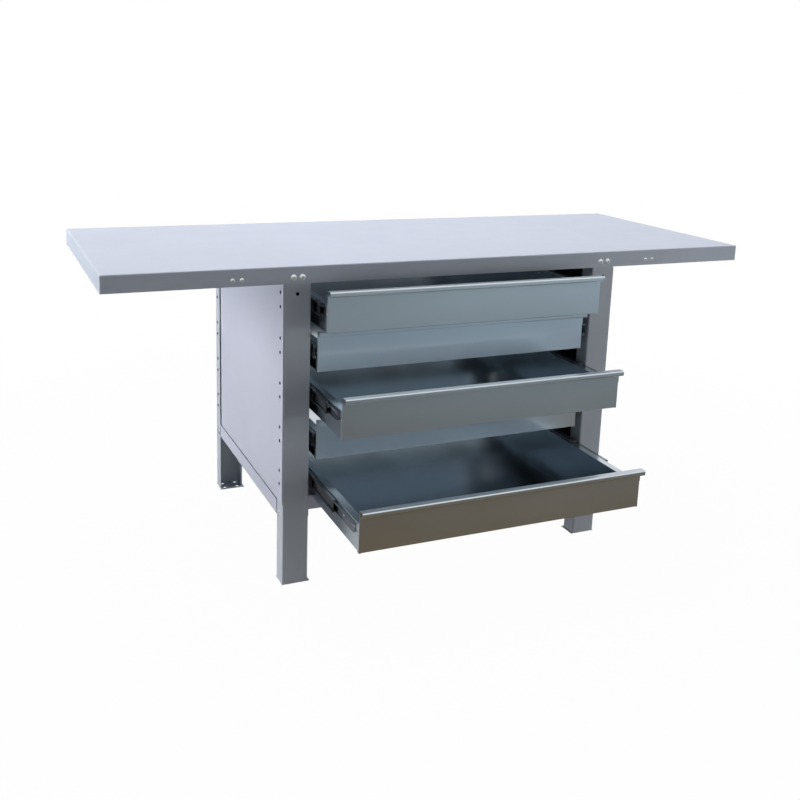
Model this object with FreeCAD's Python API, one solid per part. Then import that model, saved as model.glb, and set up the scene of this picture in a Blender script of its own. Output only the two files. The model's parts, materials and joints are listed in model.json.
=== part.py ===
import FreeCAD, Part
import math
import os

# Steel workbench with five drawers. Millimetres, +X right, +Y back, +Z up.
# The origin is on the floor, at the centre of the worktop's plan.

V = FreeCAD.Vector

# Worktop: one sheet with a folded rim
bench_height = 850.0
top_width = 1845.0
top_depth = 715.0
top_rim = 44.0
top_sheet = 2.5
top_bend = 1.0

# Legs and feet
leg_width = 70.0
leg_depth = 48.0
leg_sheet = 2.5
leg_bend = 1.5
leg_hole_d = 9.5
leg_hole_drop = 70.5
foot_sheet = 2.0
foot_margin = 5.0
foot_hole_d = 11.0
foot_hole_inset = 15.0
foot_hole_from_web = 10.0
foot_hole_span = 32.0

# Drawers, from the top one down: how far each stands open
drawer_open = [70.0, 0.0, 186.0, 0.0, 311.0]
drawer_sheet = 1.2
drawer_bend = 1.2
front_width = 792.0
front_height = 108.0
front_recess = 4.0
gap_under_rim = 8.0
gap_between_fronts = 9.2
lip_reach = 20.0
lip_drop = 13.5
lip_hem = 7.0
lip_top_bend = 2.0
lip_low_bend = 2.2
front_return = 11.0
front_corner = 6.0
front_foot = 12.0
tray_height = 72.0
tray_flange = 20.0
tray_rear_flange = 12.0

# Drawer slides
side_gap = 19.0
slide_thickness = 12.7
slide_height = 35.3
slide_sheet = 1.2
slide_bend = 1.2
slide_rear_room = 111.0
slide_run_gap = 0.3
middle_flange = 5.5
middle_chamfer = 1.0
middle_web_setback = 3.0
inner_setback = 25.0
member_end_gap = 1.0
access_slot_width = 6.0
access_slot_length = 10.0
access_slot_from_end = 31.0

# Slide carriers and side panels
carrier_sheet = 2.0
carrier_edge = 10.5
carrier_joggle = 4.0
carrier_end_gap = 2.0
panel_sheet = 1.5
panel_fold = 14.0
panel_top_gap = 1.5
panel_rear_gap = 24.0
panel_front_inset = 1.5
rivet_below_front_top = 17.0

# Low rails
rail_height = 41.0
rail_depth = 25.0
rail_sheet = 2.0
rail_drop = 2.2
rail_panel_gap = 5.0
rail_end_gap = 6.0
rail_tongue_inset = 4.0
rail_bolt_span = 15.0
rail_bolt_from_web = 21.5
side_rail_depth = 58.0
side_rail_tongue = 15.0
side_rail_bolt_span = 18.0

# Stiffeners under the worktop's overhang
stiffener_offset = 118.0
stiffener_width = 50.0
stiffener_height = 34.0
stiffener_sheet = 2.0
stiffener_tab_inset = 1.4

# Fasteners: head diameter, head height, shank diameter
top_bolt_drop = 28.0
leg_bolt_span = 23.0
leg_bolt = (15.5, 4.6, 8.0)
leg_nut = (13.0, 6.5)
stiffener_bolt_span = 22.5
small_bolt = (10.5, 3.3, 6.0)
small_nut = (10.0, 5.0)
socket_share = 0.36
thread_past_nut = 1.5
slide_screw = (8.0, 1.9, 4.0)
slide_screw_tail = 1.0
corner_screw = (6.0, 0.7, 3.0)
corner_screw_drop = 5.0
rivet_head = (9.6, 2.2, 4.8)
rivet_tail = (7.2, 2.5)
rivet_bore = (2.8, 1.2)
hole_clearance = 0.3
screw_inset = 15.0
screw_rear_inset = 30.0
inner_screw_inset = 75.0

# Places worked out from the sizes above
rim_front = -top_depth / 2
rim_bottom = bench_height - top_rim
rim_inside = rim_front + top_sheet
leg_front = rim_inside
leg_back = leg_front + leg_depth
leg_in = front_width / 2 + side_gap
leg_out = leg_in + leg_width
leg_mid = (leg_in + leg_out) / 2
leg_top = bench_height - top_sheet - top_bend
top_bolt_z = bench_height - top_bolt_drop
stiffener_x = leg_out + stiffener_offset

closed_front = rim_front + front_recess
front_pitch = front_height + gap_between_fronts
first_base = rim_bottom - gap_under_rim - front_height
drawer_base = [first_base - i * front_pitch for i in range(len(drawer_open))]
tray_half = front_width / 2 - drawer_sheet
slide_face = tray_half + slide_thickness
slide_start = closed_front
slide_end = -rim_front - slide_rear_room
slide_length = slide_end - slide_start
slide_above_base = tray_height - slide_height / 2

carrier_start = leg_back + carrier_end_gap
panel_out = leg_out + panel_sheet
flange_inside = leg_out - leg_sheet
rivet_y = (leg_front + leg_back) / 2
rail_top = drawer_base[-1] - rail_drop
rail_bottom = rail_top - rail_height
rail_mid = (rail_top + rail_bottom) / 2
rail_start = leg_back + rail_end_gap
panel_bottom = rail_top + rail_panel_gap
panel_top = rim_bottom - panel_top_gap


# Plain solids

def block(x0, x1, y0, y1, z0, z1):
    return Part.makeBox(x1 - x0, y1 - y0, z1 - z0, V(x0, y0, z0))


def rod(centre, axis, diameter, length):
    return Part.makeCylinder(diameter / 2, length, centre - axis * (length / 2), axis)


def mirror_x(shape):
    return shape.mirror(V(0, 0, 0), V(1, 0, 0))


def mirror_y(shape):
    return shape.mirror(V(0, 0, 0), V(0, 1, 0))


def both_sides(shapes):
    return shapes + [mirror_x(shape) for shape in shapes]


def both_ends(shapes):
    return shapes + [mirror_y(shape) for shape in shapes]


def cut_holes(shape, holes):
    return shape.cut(Part.makeCompound(holes))


def join(shapes):
    return shapes[0].fuse(shapes[1:]).removeSplitter()


# Folded sheet: a path of straight runs, with the sheet to the right of it.
# The inner bend radius is one for all folds, or a list with one for each fold.

PLANES = {
    "xy": (lambda u, v: V(u, v, 0), V(0, 0, 1)),
    "xz": (lambda u, v: V(u, 0, v), V(0, 1, 0)),
    "yz": (lambda u, v: V(0, u, v), V(1, 0, 0)),
}


def directions(points):
    runs = []
    for (u0, v0), (u1, v1) in zip(points, points[1:]):
        length = math.hypot(u1 - u0, v1 - v0)
        runs.append(((u1 - u0) / length, (v1 - v0) / length))
    return runs


def beside(points, distance):
    rights = [(dv, -du) for du, dv in directions(points)]
    before = [rights[0]] + rights
    after = rights + [rights[-1]]
    moved = []
    for (u, v), (au, av), (bu, bv) in zip(points, before, after):
        share = distance / (1 + au * bu + av * bv)
        moved.append((u + (au + bu) * share, v + (av + bv) * share))
    return moved


def rounded_run(points, radii, place):
    runs = directions(points)
    edges = []
    last = points[0]
    for i, radius in enumerate(radii):
        (u, v), (au, av), (bu, bv) = points[i + 1], runs[i], runs[i + 1]
        half_turn = math.acos(max(-1.0, min(1.0, au * bu + av * bv))) / 2
        reach = radius * math.tan(half_turn)
        start = (u - au * reach, v - av * reach)
        end = (u + bu * reach, v + bv * reach)
        inward = math.hypot(bu - au, bv - av)
        depth = radius / math.cos(half_turn) - radius
        middle = (u + (bu - au) / inward * depth, v + (bv - av) / inward * depth)
        edges.append(Part.makeLine(place(*last), place(*start)))
        edges.append(Part.Arc(place(*start), place(*middle), place(*end)).toShape())
        last = end
    edges.append(Part.makeLine(place(*last), place(*points[-1])))
    return edges


def folded(points, sheet, bend, plane, start, end):
    place, along = PLANES[plane]
    runs = directions(points)
    left_turns = [a[0] * b[1] - a[1] * b[0] > 0 for a, b in zip(runs, runs[1:])]
    bends = bend if isinstance(bend, list) else [bend] * len(left_turns)
    path_radii = [r if left else r + sheet for r, left in zip(bends, left_turns)]
    far_radii = [r + sheet if left else r for r, left in zip(bends, left_turns)]
    far = beside(points, sheet)
    edges = rounded_run(points, path_radii, place)
    edges.append(Part.makeLine(place(*points[-1]), place(*far[-1])))
    edges += rounded_run(far[::-1], far_radii[::-1], place)
    edges.append(Part.makeLine(place(*far[0]), place(*points[0])))
    solid = Part.Face(Part.Wire(edges)).extrude(along * (end - start))
    solid.translate(along * start)
    return solid


def prism(points, plane, start, end):
    place, along = PLANES[plane]
    outline = Part.makePolygon([place(u, v) for u, v in points + points[:1]])
    solid = Part.Face(outline).extrude(along * (end - start))
    solid.translate(along * start)
    return solid


# Fasteners, made pointing up: the head above z = 0 and the shank below

def dome(diameter, height):
    rim = height / 5
    radius = diameter / 2
    rise = height - rim
    ball = (radius * radius + rise * rise) / (2 * rise)
    half = math.asin(radius / ball) / 2
    crown = V(ball * math.sin(half), 0, height - ball + ball * math.cos(half))
    edges = [
        Part.makeLine(V(0, 0, 0), V(radius, 0, 0)),
        Part.makeLine(V(radius, 0, 0), V(radius, 0, rim)),
        Part.Arc(V(radius, 0, rim), crown, V(0, 0, height)).toShape(),
        Part.makeLine(V(0, 0, height), V(0, 0, 0)),
    ]
    return Part.Face(Part.Wire(edges)).revolve(V(0, 0, 0), V(0, 0, 1), 360)


def hexagon(across_flats, z0, z1):
    radius = across_flats / math.sqrt(3)
    corners = [math.radians(60 * i) for i in range(6)]
    return prism([(radius * math.cos(a), radius * math.sin(a)) for a in corners], "xy", z0, z1)


def screw(head, length):
    diameter, height, shank = head
    body = join([dome(diameter, height), Part.makeCylinder(shank / 2, length, V(0, 0, -length))])
    return body.cut(hexagon(diameter * socket_share, height / 3, height * 2))


def nut(size, shank):
    flats, height = size
    ring = hexagon(flats, -height, 0)
    return ring.cut(rod(V(0, 0, 0), V(0, 0, 1), shank + hole_clearance, height * 3))


def rivet(grip):
    diameter, height, shank = rivet_head
    tail_d, tail_h = rivet_tail
    bore_d, bore_h = rivet_bore
    body = join([
        dome(diameter, height),
        Part.makeCylinder(shank / 2, grip, V(0, 0, -grip)),
        Part.makeCylinder(tail_d / 2, tail_h, V(0, 0, -grip - tail_h)),
    ])
    return body.cut(Part.makeCylinder(bore_d / 2, height, V(0, 0, height - bore_h)))


def placed(shape, position, direction):
    copy = shape.copy()
    copy.Placement = FreeCAD.Placement(position, FreeCAD.Rotation(V(0, 0, 1), direction))
    return copy


def clear(shank):
    return shank + hole_clearance


def bolted(head, nut_size, grip, spots, direction):
    length = grip + nut_size[1] + thread_past_nut
    bolt = screw(head, length)
    ring = nut(nut_size, head[2])
    bolts = [placed(bolt, spot, direction) for spot in spots]
    nuts = [placed(ring, spot - direction * grip, direction) for spot in spots]
    return bolts, nuts


FRONT, BACK, RIGHT, UP = V(0, -1, 0), V(0, 1, 0), V(1, 0, 0), V(0, 0, 1)


# Spots of the fasteners on the right-hand side and at the front

def pair(centre, span):
    return [centre - span / 2, centre + span / 2]


def rim_spots(centre, span):
    return [V(x, rim_front, top_bolt_z) for x in pair(centre, span)]


leg_spots = rim_spots(leg_mid, leg_bolt_span)
stiffener_spots = rim_spots(stiffener_x, stiffener_bolt_span)
rail_bolt_y = leg_front + rail_bolt_from_web
rail_bolt_z = pair(rail_mid, rail_bolt_span)
side_rail_bolt_z = rail_bottom + rail_tongue_inset + side_rail_tongue / 2
side_rail_spots = [V(leg_out, rail_bolt_y + y, side_rail_bolt_z) for y in (0, side_rail_bolt_span)]
cross_rail_spots = [V(leg_in - rail_sheet, rail_bolt_y, z) for z in rail_bolt_z]
slide_z = [base + slide_above_base for base in drawer_base]
rivet_z = [[z, base + front_height - rivet_below_front_top] for z, base in zip(slide_z, drawer_base)]
all_rivet_z = [z for heights in rivet_z for z in heights]
mount_screw_y = [
    carrier_start + screw_inset,
    (carrier_start + slide_end) / 2,
    slide_end - screw_rear_inset,
]


# Frame

def make_worktop():
    def rounded_box(inset, low, high, radius):
        half_x, half_y = top_width / 2 - inset, top_depth / 2 - inset
        solid = block(-half_x, half_x, -half_y, half_y, low, high)
        edges = [e for e in solid.Edges if max(v.Z for v in e.Vertexes) == high]
        return solid.makeFillet(radius, edges)

    outside = rounded_box(0, rim_bottom, bench_height, top_bend + top_sheet)
    inside = rounded_box(top_sheet, rim_bottom - top_rim, bench_height - top_sheet, top_bend)
    shell = outside.cut(inside)
    holes = [rod(spot, BACK, clear(leg_bolt[2]), 4 * top_sheet) for spot in leg_spots]
    holes += [rod(spot, BACK, clear(small_bolt[2]), 4 * top_sheet) for spot in stiffener_spots]
    return cut_holes(shell, both_ends(both_sides(holes)))


def make_leg():
    section = [(leg_out, leg_back), (leg_out, leg_front), (leg_in, leg_front), (leg_in, leg_back)]
    leg = folded(section, leg_sheet, leg_bend, "xy", foot_sheet, leg_top)
    reach = 4 * leg_sheet
    holes = [rod(spot + BACK * top_sheet, BACK, clear(leg_bolt[2]), reach) for spot in leg_spots]
    holes.append(rod(V(leg_mid, leg_front, bench_height - leg_hole_drop), BACK, leg_hole_d, reach))
    holes += [rod(spot, RIGHT, clear(small_bolt[2]), reach) for spot in side_rail_spots]
    holes += [rod(spot, RIGHT, clear(small_bolt[2]), 2 * reach) for spot in cross_rail_spots]
    holes += [rod(V(leg_out, rivet_y, z), RIGHT, clear(rivet_head[2]), reach) for z in all_rivet_z]
    return cut_holes(leg, holes)


def make_foot():
    plate = block(leg_in - foot_margin, leg_out, leg_front, leg_back + foot_margin, 0, foot_sheet)
    first_y = leg_front + foot_hole_from_web
    holes = [
        rod(V(x, y, 0), UP, foot_hole_d, 4 * foot_sheet)
        for x in (leg_in + foot_hole_inset, leg_out - foot_hole_inset)
        for y in (first_y, first_y + foot_hole_span)
    ]
    return cut_holes(plate, holes)


def make_stiffener():
    half = stiffener_width / 2
    top = bench_height - top_sheet
    bottom = top - stiffener_height
    end = -rim_inside - stiffener_sheet
    section = [
        (stiffener_x - half, bottom), (stiffener_x - half, top),
        (stiffener_x + half, top), (stiffener_x + half, bottom),
    ]
    channel = folded(section, stiffener_sheet, leg_bend, "xz", -end, end)
    tab_half = half - stiffener_tab_inset
    tab = block(stiffener_x - tab_half, stiffener_x + tab_half, -end - stiffener_sheet, -end,
                bottom, top - top_bend)
    holes = [rod(spot, BACK, clear(small_bolt[2]), 6 * top_sheet) for spot in stiffener_spots]
    tab = cut_holes(tab, holes)
    return join([channel, tab, mirror_y(tab)])


def make_side_panel():
    start = leg_front + panel_front_inset
    end = -leg_back - panel_rear_gap
    section = [
        (leg_out - panel_fold, panel_top), (panel_out, panel_top),
        (panel_out, panel_bottom), (leg_out - panel_fold, panel_bottom),
    ]
    panel = folded(section, panel_sheet, leg_bend, "xz", start, end)
    notch = block(leg_in, leg_out, start - panel_sheet, carrier_start, panel_bottom - panel_fold,
                  panel_top + panel_fold)
    holes = [rod(V(leg_out, rivet_y, z), RIGHT, clear(rivet_head[2]), 4 * leg_sheet) for z in all_rivet_z]
    return cut_holes(panel.cut(notch), holes)


def end_tongue(start, end, joggle, sheet, low, high):
    tongue = block(flange_inside - sheet, flange_inside, start, end + joggle, low, high)
    step = block(flange_inside - sheet, leg_out, end, end + joggle, low, high)
    return join([tongue, step])


def make_carrier(i):
    centre = slide_z[i]
    low, high = rivet_z[i][0] - carrier_edge, rivet_z[i][1] + carrier_edge
    section = [
        (leg_out, high), (leg_out, low), (slide_face, low), (slide_face, centre + carrier_edge),
    ]
    channel = folded(section, carrier_sheet, leg_bend, "xz", carrier_start, -carrier_start)
    tongue = end_tongue(leg_front + 2 * leg_sheet, carrier_start, carrier_joggle, carrier_sheet, low, high)
    holes = [rod(V(leg_out, rivet_y, z), RIGHT, clear(rivet_head[2]), 4 * leg_sheet) for z in rivet_z[i]]
    tongue = cut_holes(tongue, holes)
    body = join([channel, tongue, mirror_y(tongue)])
    spots = [V(slide_face, y, centre) for y in mount_screw_y]
    return cut_holes(body, [rod(spot, RIGHT, clear(slide_screw[2]), 4 * carrier_sheet) for spot in spots])


def make_side_rail():
    section = [(leg_out, rail_top), (leg_out, rail_bottom), (leg_out - side_rail_depth, rail_bottom)]
    angle = folded(section, rail_sheet, leg_bend, "xz", rail_start, -rail_start)
    tongue_low = rail_bottom + rail_tongue_inset
    tongue = end_tongue(leg_front + 2 * leg_sheet, rail_start, carrier_joggle, rail_sheet,
                        tongue_low, tongue_low + side_rail_tongue)
    holes = [rod(spot, RIGHT, clear(small_bolt[2]), 6 * leg_sheet) for spot in side_rail_spots]
    tongue = cut_holes(tongue, holes)
    return join([angle, tongue, mirror_y(tongue)])


def make_front_rail():
    face = leg_back + carrier_end_gap
    section = [
        (face + rail_depth, rail_bottom), (face, rail_bottom), (face, rail_top), (face + rail_depth, rail_top),
    ]
    channel = folded(section, rail_sheet, leg_bend, "yz", -leg_in, leg_in)
    tab = block(leg_in - rail_sheet, leg_in, leg_front + 2 * leg_sheet, face + rail_sheet,
                rail_bottom + rail_tongue_inset, rail_top - rail_tongue_inset)
    holes = [rod(spot, RIGHT, clear(small_bolt[2]), 6 * leg_sheet) for spot in cross_rail_spots]
    tab = cut_holes(tab, holes)
    return join([channel, tab, mirror_x(tab)])


# Drawers: each piece is made closed and then moved forward by how far its drawer stands open

def make_front(base):
    face = closed_front
    lip_inside = face - lip_reach + drawer_sheet
    lip_under = base + front_height - drawer_sheet
    lip_floor = base + front_height - lip_drop + drawer_sheet
    half = front_width / 2
    section = [
        (face + front_foot, base), (face, base), (face, lip_under), (lip_inside, lip_under),
        (lip_inside, lip_floor), (lip_inside + lip_hem, lip_floor),
    ]
    bends = [drawer_bend, drawer_bend, lip_top_bend, lip_low_bend]
    plate = folded(section, drawer_sheet, bends, "yz", -half, half)
    corner = block(half - front_corner, half, face, face + front_foot, base, base + tray_height)
    turned = folded([(half, face + front_return), (half, face), (half - front_corner, face)],
                    drawer_sheet, drawer_bend, "xy", base, base + tray_height)
    spot = corner_screw_spot(base)
    turned = turned.cut(rod(spot, RIGHT, clear(corner_screw[2]), 4 * drawer_sheet))
    return join([plate.cut(Part.makeCompound(both_sides([corner])))] + both_sides([turned]))


def corner_screw_spot(base):
    height = base + slide_above_base - corner_screw_drop
    return V(front_width / 2, closed_front + front_return / 2, height)


def inner_screw_spots(base):
    start = slide_start + inner_setback
    spots_y = [start + inner_screw_inset, (start + slide_end) / 2, slide_end - 2 * screw_rear_inset]
    return [V(tray_half, y, base + slide_above_base) for y in spots_y]


def tray_end_plate(base, start):
    inside = tray_half - drawer_sheet
    low, high = base + 2 * drawer_sheet, base + tray_height - drawer_sheet
    inner = inside - drawer_bend
    outline = [
        (-inner, low), (inner, low), (inside, low + drawer_bend), (inside, high - drawer_bend),
        (inner, high), (-inner, high), (-inside, high - drawer_bend), (-inside, low + drawer_bend),
    ]
    return prism(outline, "xz", start, start + drawer_sheet)


def make_tray(base):
    floor = base + drawer_sheet
    top = base + tray_height
    start, end = closed_front + drawer_sheet + drawer_bend, slide_end
    opening = tray_half - tray_flange
    section = [
        (opening, top), (tray_half, top), (tray_half, floor),
        (-tray_half, floor), (-tray_half, top), (-opening, top),
    ]
    body = folded(section, drawer_sheet, drawer_bend, "xz", start, end)
    turned = folded([(end - tray_rear_flange, top), (end, top), (end, top - tray_rear_flange)],
                    drawer_sheet, drawer_bend, "yz", -opening, opening)
    back = join([tray_end_plate(base, end - drawer_sheet), turned])
    wall = tray_end_plate(base, start)
    reach = 4 * drawer_sheet
    holes = [rod(spot, RIGHT, clear(slide_screw[2]), reach) for spot in inner_screw_spots(base)]
    holes.append(rod(corner_screw_spot(base), RIGHT, clear(corner_screw[2]), 2 * reach))
    return [cut_holes(body, both_sides(holes)), back, wall]


def make_slide_outer(base):
    centre = base + slide_above_base
    half = slide_height / 2
    open_edge = slide_face - slide_thickness + 2 * slide_sheet
    section = [
        (open_edge, centre + half), (slide_face, centre + half),
        (slide_face, centre - half), (open_edge, centre - half),
    ]
    member = folded(section, slide_sheet, slide_bend, "xz", slide_start, slide_end)
    spots = [V(slide_face, y, centre) for y in mount_screw_y]
    return cut_holes(member, [rod(spot, RIGHT, clear(slide_screw[2]), 4 * slide_sheet) for spot in spots])


def make_slide_middle(base):
    centre = base + slide_above_base
    outer = slide_height / 2 - slide_sheet - slide_run_gap
    inner = outer - middle_flange
    left = slide_face - slide_thickness + 2 * slide_sheet
    right = slide_face - slide_sheet - slide_run_gap
    web_right = slide_face - slide_sheet - middle_web_setback
    web_left = web_right - slide_sheet
    corner_u, corner_v = right - middle_chamfer, outer - middle_chamfer
    section = [
        (left, outer), (corner_u, outer), (right, corner_v), (right, inner), (web_right, inner),
        (web_right, -inner), (right, -inner), (right, -corner_v), (corner_u, -outer), (left, -outer),
        (left, -inner), (web_left, -inner), (web_left, inner), (left, inner),
    ]
    raised = [(u, v + centre) for u, v in section]
    return prism(raised, "xz", slide_start + member_end_gap, slide_end - member_end_gap)


def make_slide_inner(base):
    centre = base + slide_above_base
    half = slide_height / 2 - slide_sheet - middle_flange - 2 * slide_run_gap
    open_edge = slide_face - 2 * slide_sheet - middle_web_setback - slide_run_gap
    section = [
        (open_edge, centre - half), (tray_half, centre - half),
        (tray_half, centre + half), (open_edge, centre + half),
    ]
    start = slide_start + inner_setback
    member = folded(section, slide_sheet, slide_bend, "xz", start, slide_end)
    reach = 4 * slide_sheet
    holes = [rod(spot, RIGHT, clear(slide_screw[2]), reach) for spot in inner_screw_spots(base)]
    slot_y = start + access_slot_from_end
    half_run = (access_slot_length - access_slot_width) / 2
    holes += [rod(V(tray_half, slot_y + y, centre), RIGHT, access_slot_width, reach)
              for y in (-half_run, half_run)]
    holes.append(block(tray_half - reach, tray_half + reach, slot_y - half_run, slot_y + half_run,
                       centre - access_slot_width / 2, centre + access_slot_width / 2))
    return cut_holes(member, holes)


def make_drawer_screws(base):
    length = slide_sheet + drawer_sheet + slide_screw_tail
    fixing = screw(slide_screw, length)
    seat = RIGHT * slide_sheet
    screws = [placed(fixing, spot + seat, RIGHT) for spot in inner_screw_spots(base)]
    corner = screw(corner_screw, 2 * drawer_sheet + slide_screw_tail)
    screws.append(placed(corner, corner_screw_spot(base), RIGHT))
    return both_sides(screws)


def moved_forward(shapes, distance):
    for shape in shapes:
        shape.translate(FRONT * distance)
    return shapes


# Nodes

nodes = {}


def add_frame():
    nodes["worktop"] = [make_worktop()]
    for name, shape in (("front_leg", make_leg()), ("front_foot", make_foot())):
        rear = name.replace("front", "rear")
        nodes[name + "_right"] = [shape]
        nodes[name + "_left"] = [mirror_x(shape)]
        nodes[rear + "_right"] = [mirror_y(shape)]
        nodes[rear + "_left"] = [mirror_x(mirror_y(shape))]
    sides = {
        "overhang_stiffener": [make_stiffener()],
        "side_panel": [make_side_panel()],
        "side_rail": [make_side_rail()],
        "slide_carriers": [make_carrier(i) for i in range(len(drawer_open))],
    }
    for name, shapes in sides.items():
        nodes[name + "_right"] = shapes
        nodes[name + "_left"] = [mirror_x(shape) for shape in shapes]
    rail = make_front_rail()
    nodes["front_rail"] = [rail]
    nodes["rear_rail"] = [mirror_y(rail)]


def add_frame_fasteners():
    bolts, nuts = bolted(leg_bolt, leg_nut, top_sheet + leg_sheet, leg_spots, FRONT)
    nodes["leg_bolts"] = both_ends(both_sides(bolts))
    nodes["leg_nuts"] = both_ends(both_sides(nuts))
    bolts, nuts = bolted(small_bolt, small_nut, top_sheet + stiffener_sheet, stiffener_spots, FRONT)
    nodes["stiffener_bolts"] = both_ends(both_sides(bolts))
    nodes["stiffener_nuts"] = both_ends(both_sides(nuts))
    grip = leg_sheet + rail_sheet
    side_bolts, side_nuts = bolted(small_bolt, small_nut, grip, side_rail_spots, RIGHT)
    cross_bolts, cross_nuts = bolted(small_bolt, small_nut, grip, cross_rail_spots, RIGHT * -1)
    nodes["rail_bolts"] = both_ends(both_sides(side_bolts + cross_bolts))
    nodes["rail_nuts"] = both_ends(both_sides(side_nuts + cross_nuts))
    front = rivet(panel_sheet + leg_sheet + carrier_sheet)
    rear = rivet(leg_sheet + carrier_sheet)
    rivets = [placed(front, V(panel_out, rivet_y, z), RIGHT) for z in all_rivet_z]
    rivets += [placed(rear, V(leg_out, -rivet_y, z), RIGHT) for z in all_rivet_z]
    nodes["panel_rivets_right"] = rivets
    nodes["panel_rivets_left"] = [mirror_x(shape) for shape in rivets]
    fixing = screw(slide_screw, slide_sheet + carrier_sheet + slide_screw_tail)
    seat = slide_face - slide_sheet
    spots = [V(seat, y, z) for z in slide_z for y in mount_screw_y]
    nodes["slide_mount_screws"] = both_sides([placed(fixing, spot, RIGHT * -1) for spot in spots])


def add_drawer(i):
    base, open_by = drawer_base[i], drawer_open[i]
    name = "drawer_%d_" % (i + 1)
    nodes[name + "front"] = moved_forward([make_front(base)], open_by)
    nodes[name + "tray"] = moved_forward(make_tray(base), open_by)
    nodes[name + "screws"] = moved_forward(make_drawer_screws(base), open_by)
    nodes[name + "slide_inner"] = moved_forward(both_sides([make_slide_inner(base)]), open_by)
    nodes[name + "slide_middle"] = moved_forward(both_sides([make_slide_middle(base)]), open_by / 2)
    nodes[name + "slide_outer"] = both_sides([make_slide_outer(base)])


add_frame()
add_frame_fasteners()
for number in range(len(drawer_open)):
    add_drawer(number)

os.makedirs("parts", exist_ok=True)
for name, shapes in nodes.items():
    shape = shapes[0] if len(shapes) == 1 else Part.makeCompound(shapes)
    shape.exportStep(os.path.join("parts", name + ".step"))
    volume = sum(solid.Volume for solid in shape.Solids) / 1000
    print("%-26s %3d solids %10.2f cm3 valid %s" % (name, len(shape.Solids), volume, shape.isValid()))
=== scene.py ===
# %% [markdown]
# # A steel workbench with five drawers
#
# The bench is folded sheet steel: a powder-coated top on channel legs, light side panels, and five
# zinc-plated drawers on ball slides. The sheets come from the CAD frame, which is loaded first and never
# moved. Blender adds the finishes, the fasteners in fine detail, the studio and the camera.

# %% Load the frame
import json
import math

import bmesh
import bpy
from mathutils import Matrix, Vector


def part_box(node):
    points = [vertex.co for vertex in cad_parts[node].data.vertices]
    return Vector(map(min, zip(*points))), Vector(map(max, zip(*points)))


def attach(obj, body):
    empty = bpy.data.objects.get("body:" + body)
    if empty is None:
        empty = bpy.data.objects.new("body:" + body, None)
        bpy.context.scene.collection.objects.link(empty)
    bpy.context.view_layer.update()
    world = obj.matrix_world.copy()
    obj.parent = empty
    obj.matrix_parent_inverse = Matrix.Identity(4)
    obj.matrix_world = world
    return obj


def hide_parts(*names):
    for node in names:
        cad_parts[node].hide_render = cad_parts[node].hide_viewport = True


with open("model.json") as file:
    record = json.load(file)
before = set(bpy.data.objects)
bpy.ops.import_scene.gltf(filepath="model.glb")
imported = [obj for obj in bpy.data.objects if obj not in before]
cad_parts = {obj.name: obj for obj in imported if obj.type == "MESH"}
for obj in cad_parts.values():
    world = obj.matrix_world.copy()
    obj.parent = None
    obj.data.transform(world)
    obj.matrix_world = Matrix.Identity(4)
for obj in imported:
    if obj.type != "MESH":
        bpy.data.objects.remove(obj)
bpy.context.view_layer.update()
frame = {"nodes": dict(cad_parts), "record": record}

nodes = frame["nodes"]

# %% [markdown]
# ## Wiring a finish
#
# Every finish is a small node tree around one Principled shader. The helper below keeps the wiring short:
# it makes a node, sets its values by socket name and links what is handed in as a socket. Patterns read
# Object coordinates, so they stay with the piece when a drawer moves.

# %% A small wiring helper
# Socket numbers of a mix node that is set to colour
MIX_FACTOR, MIX_FIRST, MIX_SECOND, MIX_RESULT = 0, 6, 7, 2


class Finish:
    def __init__(self, name):
        self.material = bpy.data.materials.new(name)
        self.material.use_nodes = True
        self.tree = self.material.node_tree
        self.shader = self.tree.nodes["Principled BSDF"]
        self.place = self.node("ShaderNodeTexCoord").outputs["Object"]

    def plug(self, socket, value):
        if isinstance(value, bpy.types.NodeSocket):
            self.tree.links.new(value, socket)
        else:
            socket.default_value = value

    def node(self, kind, values=None, **settings):
        made = self.tree.nodes.new(kind)
        for key, value in settings.items():
            setattr(made, key, value)
        for key, value in (values or {}).items():
            self.plug(made.inputs[key], value)
        return made

    def noise(self, per_metre, detail=2.0, stretch=None):
        where = self.place
        if stretch:
            where = self.node("ShaderNodeMapping", {"Vector": where, "Scale": stretch}).outputs["Vector"]
        values = {"Vector": where, "Scale": per_metre, "Detail": detail}
        return self.node("ShaderNodeTexNoise", values).outputs["Fac"]

    def ranged(self, value, low, high, start=0.3, end=0.7):
        return self.node("ShaderNodeMapRange", {
            "Value": value, "From Min": start, "From Max": end, "To Min": low, "To Max": high,
        }).outputs["Result"]

    def added(self, first, second):
        return self.node("ShaderNodeMath", {0: first, 1: second}, operation="ADD").outputs[0]

    def mixed(self, factor, first, second):
        mix = self.node("ShaderNodeMix", {MIX_FACTOR: factor}, data_type="RGBA")
        for place, colour in ((MIX_FIRST, first), (MIX_SECOND, second)):
            linked = isinstance(colour, bpy.types.NodeSocket)
            self.plug(mix.inputs[place], colour if linked else (*colour, 1.0))
        return mix.outputs[MIX_RESULT]

    def bump(self, height, strength, distance):
        values = {"Height": height, "Strength": strength, "Distance": distance}
        return self.node("ShaderNodeBump", values).outputs["Normal"]

    def feed(self, sockets):
        for name, value in sockets.items():
            self.plug(self.shader.inputs[name], value)
        return self.material


def scaled(colour, factor):
    return tuple(min(1.0, c * factor) for c in colour)


print("every finish is wired with", Finish.__name__)
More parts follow.
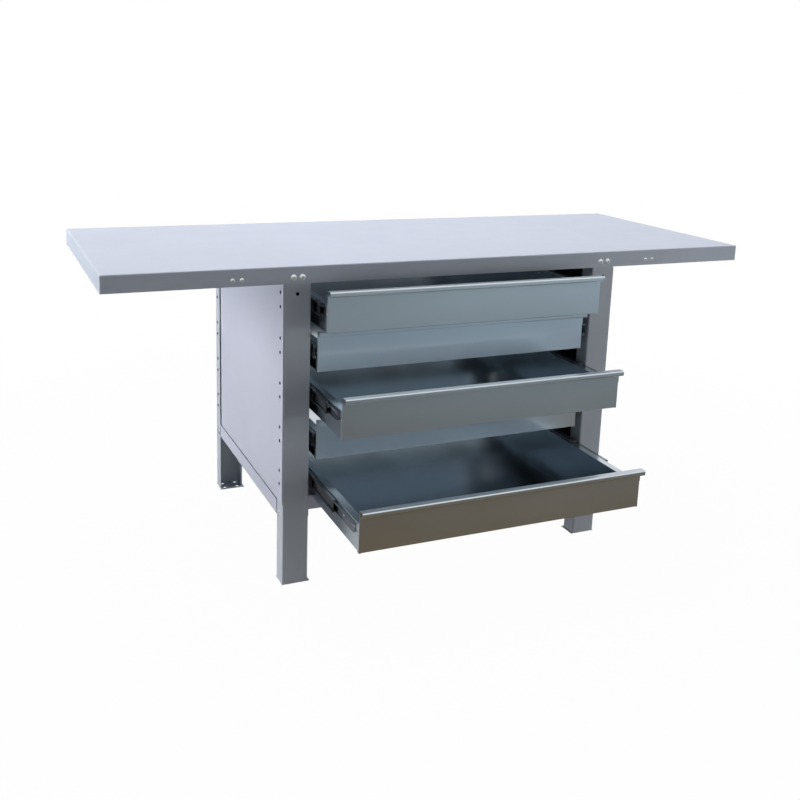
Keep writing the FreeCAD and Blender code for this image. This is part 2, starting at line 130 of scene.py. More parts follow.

# %% [markdown]
# ## Powder coat
#
# The worktop, the panels and the legs are powder coated in three shades of one light blue-grey, and the slide
# carriers behind the legs in a near-black matt grey: partly their own dark paint, partly painted shade that
# keeps the gaps beside the drawers black. Baked powder never lies quite flat: it has a fine orange peel, a
# slow cloud in its colour where the film is thicker, and a gloss that changes a little. Three noises at three
# scales give that. The worktop gets faint rubbing marks as well.

# %% Powder coat
CLOUDS_PER_METRE, GLOSS_PER_METRE, PEEL_PER_METRE = 2.3, 14.0, 520.0
PEEL_STRENGTH, PEEL_DEPTH = 0.10, 0.0003
THIN_FILM, THICK_FILM = 0.97, 1.025
SMOOTHER, ROUGHER = 0.03, 0.04
RUBBED_ACROSS, RUBBED_FROM, RUBBED_TO = (2.4, 130.0, 2.4), 0.56, 0.72
TOP_GREY, BLUE_GREY = (0.565, 0.61, 0.69), (0.565, 0.59, 0.695)
# The carriers' near-black grey is partly their own paint and partly painted shade.
LEG_GREY, CARRIER_SHADE_GREY = (0.53, 0.572, 0.63), (0.034, 0.036, 0.038)


def powder_coat(name, colour, roughness, rubbed=0.0):
    coat = Finish(name)
    cloud = coat.ranged(coat.noise(CLOUDS_PER_METRE, 3.0), 0.0, 1.0)
    base = coat.mixed(cloud, scaled(colour, THIN_FILM), scaled(colour, THICK_FILM))
    rough = coat.ranged(coat.noise(GLOSS_PER_METRE, 4.0), roughness - SMOOTHER, roughness + ROUGHER)
    if rubbed:
        marks = coat.noise(1.0, 5.0, stretch=RUBBED_ACROSS)
        rough = coat.added(rough, coat.ranged(marks, 0.0, rubbed, RUBBED_FROM, RUBBED_TO))
    peel = coat.bump(coat.noise(PEEL_PER_METRE), PEEL_STRENGTH, PEEL_DEPTH)
    return coat.feed({"Base Color": base, "Roughness": rough, "Normal": peel})


worktop_coat = powder_coat("worktop_powder_coat", TOP_GREY, roughness=0.34, rubbed=0.06)
panel_coat = powder_coat("panel_powder_coat", BLUE_GREY, roughness=0.42)
leg_coat = powder_coat("leg_powder_coat", LEG_GREY, roughness=0.40)
# Carriers: near-black coat, partly paint and partly painted shade.
carrier_shade_coat = powder_coat("carrier_dark_coat", CARRIER_SHADE_GREY, roughness=0.60)
print("powder coats:", worktop_coat.name, panel_coat.name, leg_coat.name, carrier_shade_coat.name)

# %% [markdown]
# ## Zinc-plated sheet
#
# The drawers are zinc-plated rolled sheet. The zinc of the fronts scatters light widely, so it takes a soft
# glow from the whole room, and the clear passivated skin on it gives a second, sharper reflection. A coat
# layer over a duller metal does both. The second and fourth fronts are lighter and bluer: a painted
# reflection of the bright sky that they catch. The trays and the runners on them are plain smoother metal,
# and the slide members behind are darker, as painted shade for the dark inside of the cabinet. All have a
# patchy bloom, drawn out along the rolling direction, and the thin sheet is never quite flat.

# %% Zinc-plated sheet
WAVES_PER_METRE, WAVE_DEPTH = 3.2, 0.002
SKIN_ROUGHNESS, SKIN_IOR = 0.14, 2.4
ALONG_X, ALONG_Y = (2.0, 9.0, 9.0), (9.0, 2.0, 9.0)
# The lighter, bluer front zinc is a painted reflection of the sky for the second and fourth fronts.
ZINC, LIT_BLUE_ZINC = (0.63, 0.70, 0.75), (0.72, 0.83, 0.93)
# The slide members' dark zinc is painted shade for the dark inside of the cabinet.
TRAY, RUNNER, SHADED_SLIDE = (0.58, 0.64, 0.685), (0.41, 0.43, 0.47), (0.27, 0.285, 0.30)
FRONT_ROUGH, TRAY_ROUGH, SLIDE_ROUGH = 0.42, 0.19, 0.20
PATCH_ROUGH = 0.02


def zinc_sheet(name, colour, roughness, along, skin=0.0, bloom=0.04, ripple=0.10):
    zinc = Finish(name)
    patches = zinc.ranged(zinc.noise(1.0, 3.0, stretch=along), 0.0, 1.0)
    base = zinc.mixed(patches, scaled(colour, 1.0 - bloom), scaled(colour, 1.0 + bloom))
    rough = zinc.ranged(patches, roughness - PATCH_ROUGH, roughness + PATCH_ROUGH, 0.0, 1.0)
    waves = zinc.bump(zinc.noise(WAVES_PER_METRE, 1.0), ripple, WAVE_DEPTH)
    return zinc.feed({
        "Base Color": base, "Metallic": 1.0, "Roughness": rough, "Normal": waves,
        "Coat Weight": skin, "Coat Roughness": SKIN_ROUGHNESS, "Coat IOR": SKIN_IOR, "Coat Normal": waves,
    })


front_zinc = zinc_sheet("drawer_front_zinc", ZINC, FRONT_ROUGH, ALONG_X, skin=1.0, ripple=0.25)
# Fronts two and four get the lighter, bluer zinc as a painted reflection.
lit_blue_zinc = zinc_sheet("drawer_front_blue_zinc", LIT_BLUE_ZINC, FRONT_ROUGH, ALONG_X, skin=1.0, ripple=0.25)
tray_zinc = zinc_sheet("drawer_tray_zinc", TRAY, TRAY_ROUGH, ALONG_Y)
# Slide members: darker zinc as painted shade.
slide_zinc = zinc_sheet("slide_zinc", SHADED_SLIDE, SLIDE_ROUGH, ALONG_Y, bloom=0.03, ripple=0.05)
runner_zinc = zinc_sheet("runner_zinc", RUNNER, SLIDE_ROUGH, ALONG_Y, bloom=0.03, ripple=0.05)
print("zinc finishes:", front_zinc.name, lit_blue_zinc.name, tray_zinc.name, slide_zinc.name, runner_zinc.name)

# %% [markdown]
# ## Fastener plating
#
# Bolts, nuts and screws are bright-plated and the rivets are dark, and their sockets and bores are darkened
# with painted shade. Each fastener mesh carries an attribute called recess, 0 on the outside and 1 in the
# socket. The finish reads it and turns darker there as painted shade, and duller, so one tree serves every
# fastener.

# %% Fastener plating
PATCHES_PER_METRE, DULL_SPOTS_PER_METRE = 90.0, 260.0
PLATE_SMOOTH, PLATE_ROUGH = 0.52, 0.62
RECESS_SHADE_ROUGH, RECESS_SHADE_METAL = 0.2, 0.3
PATCH_DARK, PATCH_LIGHT = 0.93, 1.05
# The second colour of each pair is painted shade for sockets and bores.
BRIGHT, BRIGHT_RECESS_SHADE = (0.93, 0.935, 0.94), (0.62, 0.63, 0.64)
DARK, DARK_RECESS_SHADE = (0.11, 0.11, 0.115), (0.012, 0.012, 0.013)


def fastener_plating(name, colour, recess_shade):
    plating = Finish(name)
    recess = plating.node("ShaderNodeAttribute", attribute_name="recess").outputs["Fac"]
    patches = plating.ranged(plating.noise(PATCHES_PER_METRE, 3.0), 0.0, 1.0)
    clean = plating.mixed(patches, scaled(colour, PATCH_DARK), scaled(colour, PATCH_LIGHT))
    # Painted shade: the recess darkens the plating in sockets and bores.
    base = plating.mixed(recess, clean, recess_shade)
    spots = plating.ranged(plating.noise(DULL_SPOTS_PER_METRE), PLATE_SMOOTH, PLATE_ROUGH)
    rough = plating.added(spots, plating.ranged(recess, 0.0, RECESS_SHADE_ROUGH, 0.0, 1.0))
    shine = plating.ranged(recess, 1.0, RECESS_SHADE_METAL, 0.0, 1.0)
    return plating.feed({"Base Color": base, "Metallic": shine, "Roughness": rough})


bolt_plating = fastener_plating("bolt_plating", BRIGHT, BRIGHT_RECESS_SHADE)
rivet_plating = fastener_plating("rivet_plating", DARK, DARK_RECESS_SHADE)
print("platings:", bolt_plating.name, rivet_plating.name)

# %% [markdown]
# ## Finishing the CAD pieces
#
# The folded sheets, legs, rails and slides already have their right shape in the frame, so they stay and
# only take a finish. The name of a node says what it is, and the first word in the list that it holds
# picks the finish.

# %% Finish the CAD pieces
FINISH_OF = (
    ("bolts", bolt_plating), ("nuts", bolt_plating), ("screws", bolt_plating), ("rivets", rivet_plating),
    ("worktop", worktop_coat), ("panel", panel_coat), ("rail", panel_coat), ("carriers", carrier_shade_coat),
    ("leg", leg_coat), ("foot", leg_coat), ("stiffener", leg_coat),
    ("slide_inner", runner_zinc), ("slide", slide_zinc), ("tray", tray_zinc),
    # Painted reflection: the second and fourth fronts take the lighter, bluer zinc.
    ("drawer_2_front", lit_blue_zinc), ("drawer_4_front", lit_blue_zinc), ("front", front_zinc),
)
for name, node in nodes.items():
    node.data.materials.clear()
    node.data.materials.append(next(finish for word, finish in FINISH_OF if word in name))
print("finished", len(nodes), "CAD nodes")

# %% [markdown]
# ## Turned fastener shapes
#
# A bolt, screw, rivet or nut is a turned shape, so each is described by rings: a radius, a height, how deep
# in the socket it lies and the outline of the ring, which is round, six-sided or a cross. Neighbouring
# rings are joined with faces. This gives edges, sockets and bores that a plain cylinder lacks, with few
# faces.

# %% Turned shapes
MM = 0.001
SIDES = 24
SHARP_ANGLE = math.radians(34)
CROSS_CORE = 0.34
OUTLINES = {
    "round": lambda turn: 1.0,
    "hexagon": lambda turn: math.cos(math.pi / 6) / math.cos(turn % (math.pi / 3) - math.pi / 6),
    "cross": lambda turn: CROSS_CORE + (1.0 - CROSS_CORE) * max(0.0, math.cos(4 * turn)) ** 2,
}


def turned(name, rings, closed=False):
    shape = bmesh.new()
    recess = shape.verts.layers.float.new("recess")
    loops = []
    for radius, height, depth, outline in rings:
        loop = []
        for i in range(SIDES if radius else 1):
            turn = 2 * math.pi * i / SIDES
            reach = radius * OUTLINES[outline](turn)
            loop.append(shape.verts.new((reach * math.cos(turn), reach * math.sin(turn), height)))
            loop[-1][recess] = depth
        loops.append(loop)
    for low, high in zip(loops, loops[1:] + loops[:1] if closed else loops[1:]):
        for i in range(SIDES):
            j = (i + 1) % SIDES
            corners = (low[i % len(low)], low[j % len(low)], high[j % len(high)], high[i % len(high)])
            shape.faces.new(list(dict.fromkeys(corners)))
    bmesh.ops.recalc_face_normals(shape, faces=shape.faces)
    for face in shape.faces:
        face.smooth = True
    mesh = bpy.data.meshes.new(name)
    shape.to_mesh(mesh)
    shape.free()
    mesh.set_sharp_from_angle(angle=SHARP_ANGLE)
    made = bpy.data.objects.new(name, mesh)
    bpy.context.scene.collection.objects.link(made)
    return made


print("rings with", SIDES, "sides can be", ", ".join(OUTLINES))

# %% [markdown]
# A bolt or screw has a domed head with a socket. The head stands above zero and the shank below, as in the
# frame, and the shank's end is turned down a little.

# %% Bolts and screws
DOME_STEPS = 5


def dome(diameter, height, hole):
    radius, rim = diameter / 2, height / 5
    rise = height - rim
    ball = (radius * radius + rise * rise) / (2 * rise)
    rings = [(radius, 0.0, 0.5, "round"), (radius, rim, 0.0, "round")]
    for step in range(1, DOME_STEPS + 1):
        at = radius + (hole - radius) * step / DOME_STEPS
        rings.append((at, height - ball + math.sqrt(ball * ball - at * at), 0.0, "round"))
    return rings


def headed(name, head, length, socket, outline):
    diameter, height, shank = head
    tip, chamfer, socket_rim = shank * 0.42, shank * 0.08, socket * 1.12
    rings = [(0.0, -length, 0.0, "round"), (tip, -length, 0.0, "round")]
    rings += [(shank / 2, -length + chamfer, 0.0, "round"), (shank / 2, 0.0, 0.0, "round")]
    rings += dome(diameter, height, socket_rim)
    top, bottom, middle = rings[-1][1], height * 0.4, height * 0.33
    rings += [(socket, top, 0.25, outline), (socket, bottom, 1.0, outline), (0.0, middle, 1.0, "round")]
    return turned(name, rings)


LEG_HEAD, SMALL_HEAD = (15.5 * MM, 4.6 * MM, 8 * MM), (10.5 * MM, 3.3 * MM, 6 * MM)
SCREW_HEAD, CORNER_HEAD = (8 * MM, 1.9 * MM, 4 * MM), (6 * MM, 0.7 * MM, 3 * MM)
leg_bolt = headed("leg_bolt", LEG_HEAD, length=13 * MM, socket=3.2 * MM, outline="hexagon")
small_bolt = headed("small_bolt", SMALL_HEAD, length=11 * MM, socket=2.2 * MM, outline="hexagon")
slide_screw = headed("slide_screw", SCREW_HEAD, length=3.4 * MM, socket=2.3 * MM, outline="cross")
mount_screw = headed("mount_screw", SCREW_HEAD, length=4.2 * MM, socket=2.3 * MM, outline="cross")
corner_screw = headed("corner_screw", CORNER_HEAD, length=3.4 * MM, socket=1.6 * MM, outline="cross")
print("bolts and screws with", len(leg_bolt.data.polygons), "faces each")

# %% [markdown]
# A blind rivet has a low dome with a bore, with the broken end of its mandrel at the bottom, and the bore is
# darkened towards it with painted shade. A nut is a ring: its outline is round at the bore and six-sided
# outside, with the corners turned down, and its bore takes a little painted shade as well.

# %% Rivets and nuts
def blind_rivet(name, grip):
    tail, shank, bore = 3.6 * MM, 2.4 * MM, 1.9 * MM
    tail_end, tail_turn = -grip - 2.5 * MM, -grip - 1.7 * MM
    rings = [(0.0, tail_end, 0.0, "round"), (tail * 0.8, tail_end, 0.0, "round")]
    rings += [(tail, tail_turn, 0.0, "round"), (tail, -grip, 0.0, "round")]
    rings += [(shank, -grip, 0.0, "round"), (shank, 0.0, 0.0, "round")]
    rings += dome(9.6 * MM, 2.2 * MM, bore * 1.15)
    top = rings[-1][1]
    # The recess values paint shade down the bore to the mandrel's end.
    rings += [(bore, top - 0.15 * MM, 0.5, "round"), (bore * 0.9, top - 1.2 * MM, 1.0, "round")]
    rings += [(bore * 0.6, top - 0.9 * MM, 0.9, "round"), (0.0, top - 0.8 * MM, 0.9, "round")]
    return turned(name, rings)


def hexagon_nut(name, flats, height, bore):
    corner, face, low, high = flats / math.sqrt(3), flats * 0.47, -height * 0.88, -height * 0.12
    rings = [(bore, -height, 0.6, "round"), (face, -height, 0.0, "round")]
    rings += [(corner, low, 0.0, "hexagon"), (corner, high, 0.0, "hexagon")]
    rings += [(face, 0.0, 0.0, "round"), (bore, 0.0, 0.6, "round")]
    return turned(name, rings, closed=True)


front_rivet = blind_rivet("front_rivet", grip=6.0 * MM)
rear_rivet = blind_rivet("rear_rivet", grip=4.5 * MM)
leg_nut = hexagon_nut("leg_nut", flats=13 * MM, height=6.5 * MM, bore=4.1 * MM)
small_nut = hexagon_nut("small_nut", flats=10 * MM, height=5 * MM, bore=3.1 * MM)
print("rivets with", len(front_rivet.data.polygons), "faces, nuts with", len(leg_nut.data.polygons))

# %% [markdown]
# ## Setting fasteners out in rows
#
# On the bench the fasteners stand in regular rows: two rivets for each drawer on every leg, pairs of bolts
# at each leg and rail, rows of screws along the slides. One node tree does the setting out. It makes three
# nested lines of points from a start, a count and a step each, turns the fastener to face outwards and sets
# it on every point. The tree adds to what it is given, so a stack of modifiers fills one piece with several
# rows.

# %% The fastener row tree
LEVELS = ("Row", "Column", "Pair")


def fastener_row_tree():
    tree = bpy.data.node_groups.new("fastener_rows", "GeometryNodeTree")
    sockets = [("Geometry", "Geometry"), ("Fastener", "Object"), ("Start", "Vector"), ("Facing", "Vector")]
    for level in LEVELS:
        sockets += [(level + " Count", "Int"), (level + " Step", "Vector")]
    sockets.append(("Plating", "Material"))
    for label, kind in sockets:
        tree.interface.new_socket(label, in_out="INPUT", socket_type="NodeSocket" + kind)
    tree.interface.new_socket("Geometry", in_out="OUTPUT", socket_type="NodeSocketGeometry")

    def node(kind, links, **settings):
        made = tree.nodes.new(kind)
        for key, value in settings.items():
            setattr(made, key, value)
        for key, sources in links.items():
            for source in sources if isinstance(sources, list) else [sources]:
                tree.links.new(source, made.inputs[key])
        return made

    given = tree.nodes.new("NodeGroupInput").outputs
    points = node("GeometryNodeMeshLine", {
        "Count": given["Row Count"], "Start Location": given["Start"], "Offset": given["Row Step"]})
    for level in LEVELS[1:]:
        line = node("GeometryNodeMeshLine", {
            "Count": given[level + " Count"], "Offset": given[level + " Step"]})
        spread = node("GeometryNodeInstanceOnPoints", {
            "Points": points.outputs[0], "Instance": line.outputs[0]})
        points = node("GeometryNodeRealizeInstances", {"Geometry": spread.outputs[0]})
    turn = node("FunctionNodeAlignRotationToVector", {"Vector": given["Facing"]}, axis="Z")
    shape = node("GeometryNodeObjectInfo", {"Object": given["Fastener"]})
    set_out = node("GeometryNodeInstanceOnPoints", {
        "Points": points.outputs[0], "Instance": shape.outputs["Geometry"], "Rotation": turn.outputs[0]})
    whole = node("GeometryNodeJoinGeometry", {"Geometry": [given["Geometry"], set_out.outputs[0]]})
    solid = node("GeometryNodeRealizeInstances", {"Geometry": whole.outputs[0]})
    plated = node("GeometryNodeSetMaterial", {"Geometry": solid.outputs[0], "Material": given["Plating"]})
    node("NodeGroupOutput", {"Geometry": plated.outputs[0]})
    return tree


row_tree = fastener_row_tree()
row_inputs = {item.name: item.identifier for item in row_tree.interface.items_tree if item.in_out == "INPUT"}
print("fastener rows take", ", ".join(row_inputs))

# %% [markdown]
# A row is a fastener, a start, a facing and up to three count-and-step pairs. Most rows exist twice or four
# times on the bench, so rows are written once for the right or the front and mirrored. The finished mesh is
# taken from the evaluated object and the modifiers go, so the piece is plain. Its box is compared with that
# of the CAD node that it stands for.

# %% Rows into pieces
RIGHT, LEFT, FRONT = (1, 0, 0), (-1, 0, 0), (0, -1, 0)


def row(fastener, start, facing, *steps):
    return fastener, Vector(start), Vector(facing), [(count, Vector(step)) for count, step in steps]


def mirrored(rows, axis):
    def flip(vector):
        return Vector(-v if i == axis else v for i, v in enumerate(vector))

    return [(kind, flip(start), flip(facing), [(count, flip(step)) for count, step in steps])
            for kind, start, facing, steps in rows]


def everywhere(rows):
    rows = rows + mirrored(rows, 0)
    return rows + mirrored(rows, 1)


def set_fasteners(node, body, rows, plating):
    piece = bpy.data.objects.new(node + "_fine", bpy.data.meshes.new("empty"))
    bpy.context.scene.collection.objects.link(piece)
    for kind, start, facing, steps in rows:
        filled = steps + [(1, Vector((0, 0, 0)))] * (len(LEVELS) - len(steps))
        values = {"Fastener": kind, "Start": start, "Facing": facing, "Plating": plating}
        for level, (count, step) in zip(LEVELS, filled):
            values[level + " Count"], values[level + " Step"] = count, step
        modifier = piece.modifiers.new("rows", "NODES")
        modifier.node_group = row_tree
        for label, value in values.items():
            modifier[row_inputs[label]] = value
    depsgraph = bpy.context.evaluated_depsgraph_get()
    mesh = bpy.data.meshes.new_from_object(
        piece.evaluated_get(depsgraph), preserve_all_data_layers=True, depsgraph=depsgraph)
    piece.modifiers.clear()
    piece.data = mesh
    mesh.name = piece.name
    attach(piece, body)
    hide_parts(node)
    low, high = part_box(node)
    off = 0.0
    for axis in range(3):
        along = [vertex.co[axis] for vertex in mesh.vertices]
        off = max(off, abs(min(along) - low[axis]), abs(max(along) - high[axis]))
    print("%-22s %3d rows %6d faces, box off by %.2f mm" % (node, len(rows), len(mesh.polygons), off / MM))


print("before mirroring, rows face", RIGHT, LEFT, FRONT)

# %% [markdown]
# ## Bolts and nuts of the frame
#
# Two button-head bolts hold each leg to the worktop's rim, two smaller ones hold each stiffener, and each
# low rail has a pair at either end. The places are the frame's own sizes in metres.

# %% Frame bolts and nuts
RIM, BOLT_HEIGHT = -0.3575, 0.822
LEG_X, STIFFENER_X = 0.4385, 0.59175
LEG_GRIP, SMALL_GRIP = 0.005, 0.0045
LEG_OUTSIDE, LEG_INSIDE = 0.485, 0.413
RAIL_Y, SIDE_RAIL_Z, CROSS_RAIL_Z = -0.3335, 0.1895, 0.191
leg_pair, stiffener_pair = (2, (0.023, 0, 0)), (2, (0.0225, 0, 0))
side_pair, cross_pair = (2, (0, 0.018, 0)), (2, (0, 0, 0.015))
set_fasteners("leg_bolts", "bench", everywhere([
    row(leg_bolt, (LEG_X, RIM, BOLT_HEIGHT), FRONT, leg_pair)]), bolt_plating)
set_fasteners("leg_nuts", "bench", everywhere([
    row(leg_nut, (LEG_X, RIM + LEG_GRIP, BOLT_HEIGHT), FRONT, leg_pair)]), bolt_plating)
set_fasteners("stiffener_bolts", "bench", everywhere([
    row(small_bolt, (STIFFENER_X, RIM, BOLT_HEIGHT), FRONT, stiffener_pair)]), bolt_plating)
set_fasteners("stiffener_nuts", "bench", everywhere([
    row(small_nut, (STIFFENER_X, RIM + SMALL_GRIP, BOLT_HEIGHT), FRONT, stiffener_pair)]), bolt_plating)
set_fasteners("rail_bolts", "bench", everywhere([
    row(small_bolt, (LEG_OUTSIDE, RAIL_Y, SIDE_RAIL_Z), RIGHT, side_pair),
    row(small_bolt, (LEG_INSIDE, RAIL_Y, CROSS_RAIL_Z), LEFT, cross_pair)]), bolt_plating)
set_fasteners("rail_nuts", "bench", everywhere([
    row(small_nut, (LEG_OUTSIDE - SMALL_GRIP, RAIL_Y, SIDE_RAIL_Z), RIGHT, side_pair),
    row(small_nut, (LEG_INSIDE + SMALL_GRIP, RAIL_Y, CROSS_RAIL_Z), LEFT, cross_pair)]), bolt_plating)

# %% [markdown]
# ## Rivets and slide screws
#
# Each carrier is riveted to a front leg and a rear leg with two rivets, the front ones through the side
# panel as well. Screws hold the outer slide members to the carriers, and the inner members to the drawers.
# The screws of a drawer ride on that drawer. How far a drawer stands open at rest follows from the lower
# limit of its joint, at which it is shut.

# %% Rivets and screws
DRAWERS, PITCH = 5, -0.1172
SLIDE_HEIGHT = 0.74435
PANEL_OUTSIDE, RIVET_Y = 0.4865, 0.331
MOUNT_X, MOUNT_FRONT, MOUNT_MIDDLE, MOUNT_SPAN = 0.4063, -0.290, -0.02925, 0.5065
DRAWER_SIDE, RUNNER_FRONT, RUNNER_MIDDLE, RUNNER_SPAN = 0.396, -0.2535, -0.041, 0.440
CORNER_Y, CORNER_DROP = -0.348, 0.005
every_drawer = (DRAWERS, (0, 0, PITCH))
rivet_pair = (2, (0, 0, 0.03665))
rivets = [
    row(front_rivet, (PANEL_OUTSIDE, -RIVET_Y, SLIDE_HEIGHT), RIGHT, every_drawer, rivet_pair),
    row(rear_rivet, (LEG_OUTSIDE, RIVET_Y, SLIDE_HEIGHT), RIGHT, every_drawer, rivet_pair),
]
set_fasteners("panel_rivets_right", "bench", rivets, rivet_plating)
set_fasteners("panel_rivets_left", "bench", mirrored(rivets, 0), rivet_plating)
mounts = [
    row(mount_screw, (MOUNT_X, MOUNT_FRONT, SLIDE_HEIGHT), LEFT, every_drawer, (2, (0, MOUNT_SPAN, 0))),
    row(mount_screw, (MOUNT_X, MOUNT_MIDDLE, SLIDE_HEIGHT), LEFT, every_drawer),
]
set_fasteners("slide_mount_screws", "bench", mounts + mirrored(mounts, 0), bolt_plating)

opened = {joint["child"]: -joint["range_m"][0] for joint in frame["record"]["behaviour"]["joints"]}
for number in range(DRAWERS):
    drawer = "drawer_%d" % (number + 1)
    out, height = opened[drawer], SLIDE_HEIGHT + number * PITCH
    screws = [
        row(slide_screw, (DRAWER_SIDE, RUNNER_FRONT - out, height), RIGHT, (2, (0, RUNNER_SPAN, 0))),
        row(slide_screw, (DRAWER_SIDE, RUNNER_MIDDLE - out, height), RIGHT),
        row(corner_screw, (DRAWER_SIDE, CORNER_Y - out, height - CORNER_DROP), RIGHT),
    ]
    set_fasteners(drawer + "_screws", drawer, screws + mirrored(screws, 0), bolt_plating)
for template in (leg_bolt, small_bolt, slide_screw, mount_screw, corner_screw, front_rivet, rear_rivet,
                 leg_nut, small_nut):
    bpy.data.objects.remove(template)

# %% [markdown]
# ## The camera
#
# The camera stands where the photograph was taken from: in front of the bench, left of its middle and
# higher than the top. Its place and turn come from fitting the bench's own corners, and a small lens shift
# keeps the framing.

# %% The camera
CAMERA_PLACE = (-1.20324, -2.65075, 1.30850)
CAMERA_RIGHT = (0.91661, -0.39852, 0.03172)
CAMERA_UP = (0.05852, 0.21225, 0.97546)
SENSOR_MM, LENS_MM = 36.0, 44.93
LENS_SHIFT = (0.0055, -0.1247)
scene = bpy.context.scene
camera = bpy.data.objects.new("camera", bpy.data.cameras.new("camera"))
scene.collection.objects.link(camera)
right, up = Vector(CAMERA_RIGHT).normalized(), Vector(CAMERA_UP).normalized()
turn = Matrix((right, up, right.cross(up))).transposed()
camera.matrix_world = Matrix.Translation(CAMERA_PLACE) @ turn.to_4x4()
camera.data.sensor_width, camera.data.lens = SENSOR_MM, LENS_MM
camera.data.shift_x, camera.data.shift_y = LENS_SHIFT
scene.camera = camera
print("camera at", tuple(round(c, 3) for c in camera.location))

# %% [markdown]
# ## A white room
#
# The photograph has a plain white ground. The world and the floor are white for the eye and for what the
# metal mirrors, but light the bench only weakly, so that the soft lights decide the shading. The Light Path
# node tells those rays apart.

# %% World
AMBIENT = 0.06
scene.view_settings.view_transform = "Standard"


def joined(tree, first, second, operation):
    both = tree.nodes.new("ShaderNodeMath")
    both.operation = operation
    tree.links.new(first, both.inputs[0])
    tree.links.new(second, both.inputs[1])
    return both.outputs[0]


def seen_rays(tree):
    path = tree.nodes.new("ShaderNodeLightPath").outputs
    seen = joined(tree, path["Is Camera Ray"], path["Is Glossy Ray"], "MAXIMUM")
    return joined(tree, seen, path["Is Transmission Ray"], "MAXIMUM")


world = bpy.data.worlds.new("studio")
scene.world = world
world.use_nodes = True
tree = world.node_tree
strength = tree.nodes.new("ShaderNodeMapRange")
strength.inputs["To Min"].default_value = AMBIENT
tree.links.new(seen_rays(tree), strength.inputs["Value"])
tree.nodes["Background"].inputs["Color"].default_value = (1.0, 1.0, 1.0, 1.0)
tree.links.new(strength.outputs["Result"], tree.nodes["Background"].inputs["Strength"])
print("white world, ambient", AMBIENT)

# %% [markdown]
# The floor is one wide sheet. Close to the bench it keeps a little of its own shading, which leaves a faint
# shadow.

# %% Floor
WIDE, FLOOR_HEIGHT = 14.0, -0.0006
NEAR, FAR, NEAR_SHARE = 0.9, 2.6, 0.98
FLOOR_GREY, FLOOR_ROUGH = (0.60, 0.60, 0.60, 1.0), 0.9


def stage_sheet(name, corners, faces, material):
    mesh = bpy.data.meshes.new(name)
    mesh.from_pydata(corners, [], faces)
    mesh.materials.append(material)
    made = bpy.data.objects.new(name, mesh)
    scene.collection.objects.link(made)
    return made


paper = Finish("pale_floor")
paper.feed({"Base Color": FLOOR_GREY, "Roughness": FLOOR_ROUGH})
white = paper.node("ShaderNodeEmission", {"Strength": 1.0}).outputs[0]
distance = paper.node("ShaderNodeVectorMath", {0: paper.place}, operation="LENGTH").outputs["Value"]
share = paper.ranged(distance, NEAR_SHARE, 1.0, NEAR, FAR)
factor = joined(paper.tree, seen_rays(paper.tree), share, "MULTIPLY")
blend = paper.node("ShaderNodeMixShader", {0: factor, 1: paper.shader.outputs[0], 2: white}).outputs[0]
paper.tree.links.new(blend, paper.tree.nodes["Material Output"].inputs["Surface"])
corners = [(x, y, FLOOR_HEIGHT) for x, y in ((-WIDE, -WIDE), (WIDE, -WIDE), (WIDE, WIDE), (-WIDE, WIDE))]
stage_sheet("floor", corners, [(0, 1, 2, 3)], paper.material)
print("floor", 2 * WIDE, "m wide")

# %% [markdown]
# ## What the metal mirrors
#
# Bright sheet shows its surroundings more than its own colour: the drawers in the photograph mirror a warm
# dark floor close by and a cool grey room further off. Cards that only reflections see stand in for these,
# as a photographer's cards would. Each is a strip of quads, and every edge across the strip has a tone.

# %% Reflected cards
CARD_HEIGHT = 0.0004
tone = Finish("reflected_tone")
colour = tone.node("ShaderNodeAttribute", attribute_name="tone").outputs["Color"]
glow = tone.node("ShaderNodeEmission", {"Color": colour, "Strength": 1.0}).outputs[0]
tone.tree.links.new(glow, tone.tree.nodes["Material Output"].inputs["Surface"])


def reflected_card(name, edges):
    across = len(edges[0])
    points = [point for edge in edges for point in edge]
    faces = [(i * across + j, i * across + j + 1, (i + 1) * across + j + 1, (i + 1) * across + j)
             for i in range(len(edges) - 1) for j in range(across - 1)]
    card = stage_sheet(name, [corner for corner, _ in points], faces, tone.material)
    tones = card.data.attributes.new("tone", "FLOAT_COLOR", "POINT")
    for item, (_, shade) in zip(tones.data, points):
        item.color = (*shade, 1.0)
    card.visible_camera = card.visible_diffuse = card.visible_transmission = card.visible_shadow = False


def floor_card(name, x0, x1, tones):
    reflected_card(name, [[((x, y, CARD_HEIGHT), shade) for x in (x0, x1)] for y, shade in tones])


def wall_card(name, start, end, tones, ramp=0.0):
    sides = ((start, 1.0 - ramp), (end, 1.0 + ramp))
    reflected_card(name, [
        [((*spot, z), scaled(shade, level)) for spot, level in sides] for z, shade in tones])


print("a card's tones come from", tone.material.name)

# %% [markdown]
# On the floor in front a tone belongs to a distance, and further off it rises from left to right. A wall's
# tone belongs to a height.

# %% Cards in front and at the right
ROOM = 6.0
FLOOR_TONES = (
    (-0.42, (0.115, 0.068, 0.022), 0.0),
    (-1.15, (0.130, 0.080, 0.030), 0.0),
    (-1.42, (0.095, 0.058, 0.020), 0.0),
    (-1.70, (0.075, 0.074, 0.072), 0.15),
    (-2.60, (0.100, 0.135, 0.160), 0.95),
    (-ROOM, (0.140, 0.200, 0.260), 0.95),
)
ACROSS = ((-5.0, -1.0), (-0.4, -1.0), (2.2, 1.0), (ROOM, 1.0))
WALL_TONES = (
    (0.0, (0.46, 0.64, 0.80)),
    (0.9, (0.62, 0.83, 1.0)),
    (2.4, (0.78, 0.92, 1.0)),
    (5.0, (0.60, 0.68, 0.74)),
)
reflected_card("floor_in_front", [
    [((x, y, CARD_HEIGHT), scaled(shade, 1.0 + ramp * side)) for x, side in ACROSS]
    for y, shade, ramp in FLOOR_TONES])
wall_card("wall_in_front", (-ROOM, -ROOM), (ROOM, -ROOM), WALL_TONES, ramp=0.7)
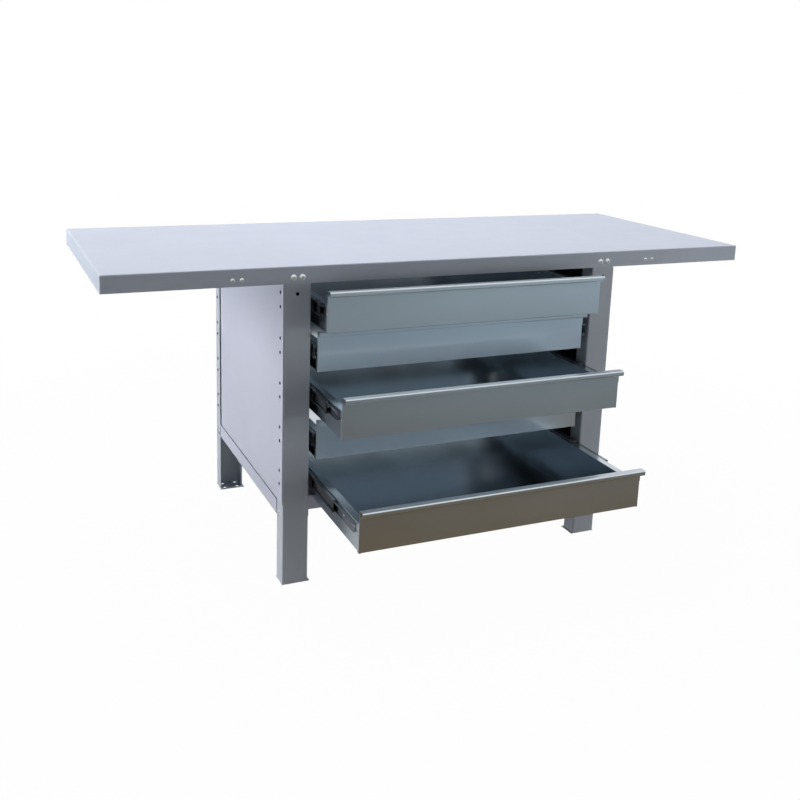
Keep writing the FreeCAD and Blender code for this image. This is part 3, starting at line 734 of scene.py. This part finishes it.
wall_card("wall_right", (ROOM, -ROOM), (ROOM, 3.0), WALL_TONES)
print("cards in front with", len(FLOOR_TONES), "floor tones and", len(WALL_TONES), "wall tones")

# %% [markdown]
# Under the bench and at its left the floor is bright at the front and dark further back. The trays mirror
# what is behind the bench, and the left-hand slides what is at its left.

# %% Cards beneath, behind and at the left
BENCH_SIDE, BEHIND, BEHIND_LEFT, BEHIND_RIGHT = 0.47, 2.4, -2.0, 3.5
BENEATH_TONES = ((-0.42, 0.70), (-0.30, 0.30), (0.0, 0.05), (0.5, 0.05))
LEFT_TONES = ((-0.42, 0.62), (-0.12, 0.52), (0.02, 0.14), (0.12, 0.03), (1.5, 0.03))
BEHIND_TONES = ((0.5, (0.29, 0.37, 0.46)), (1.2, (0.17, 0.21, 0.245)), (BEHIND, (0.12, 0.145, 0.165)))
BEHIND_WALL, LEFT_WALL = (0.27, 0.36, 0.45), (0.08, 0.09, 0.10)
floor_card("floor_beneath", -BENCH_SIDE, BENCH_SIDE, [(y, (grey,) * 3) for y, grey in BENEATH_TONES])
floor_card("floor_left", -3.0, -BENCH_SIDE, [(y, (grey, grey, grey * 1.04)) for y, grey in LEFT_TONES])
floor_card("floor_behind", BEHIND_LEFT, BEHIND_RIGHT, BEHIND_TONES)
wall_card("wall_behind", (BEHIND_LEFT, BEHIND), (BEHIND_RIGHT, BEHIND),
          [(z, BEHIND_WALL) for z in (0.0, 1.0)])
wall_card("wall_left", (BEHIND_LEFT, BEHIND), (-5.0, -0.5), [(z, LEFT_WALL) for z in (0.0, 1.4)])
print("cards beneath, behind and at the left")

# %% [markdown]
# ## Soft lights
#
# A large soft light hangs above the bench and a second one stands on the left, a little behind its back
# edge, so the top and the left panel are bright and the front faces stay dark. A weak light from the front
# right lifts the right-hand end a little.

# %% Soft lights
def softbox(name, place, aim, size, power, tint=(1.0, 1.0, 1.0)):
    lamp = bpy.data.lights.new(name, "AREA")
    lamp.shape = "RECTANGLE"
    lamp.size, lamp.size_y = size
    lamp.energy = power
    lamp.color = tint
    made = bpy.data.objects.new(name, lamp)
    scene.collection.objects.link(made)
    towards = Vector(aim) - Vector(place)
    made.matrix_world = Matrix.Translation(place) @ towards.to_track_quat("-Z", "Y").to_matrix().to_4x4()
    made.visible_glossy = False


softbox("light_above", place=(0.0, 0.5, 3.6), aim=(0.0, 0.1, 0.8), size=(3.6, 2.6), power=91.0,
        tint=(0.985, 1.0, 1.11))
softbox("light_left", place=(-3.2, 0.55, 1.05), aim=(-0.5, 0.0, 0.6), size=(1.6, 1.8), power=70.0,
        tint=(1.02, 1.0, 0.99))
softbox("light_front_right", place=(3.2, -2.6, 0.55), aim=(0.3, 0.0, 0.3), size=(2.0, 1.1), power=33.0)
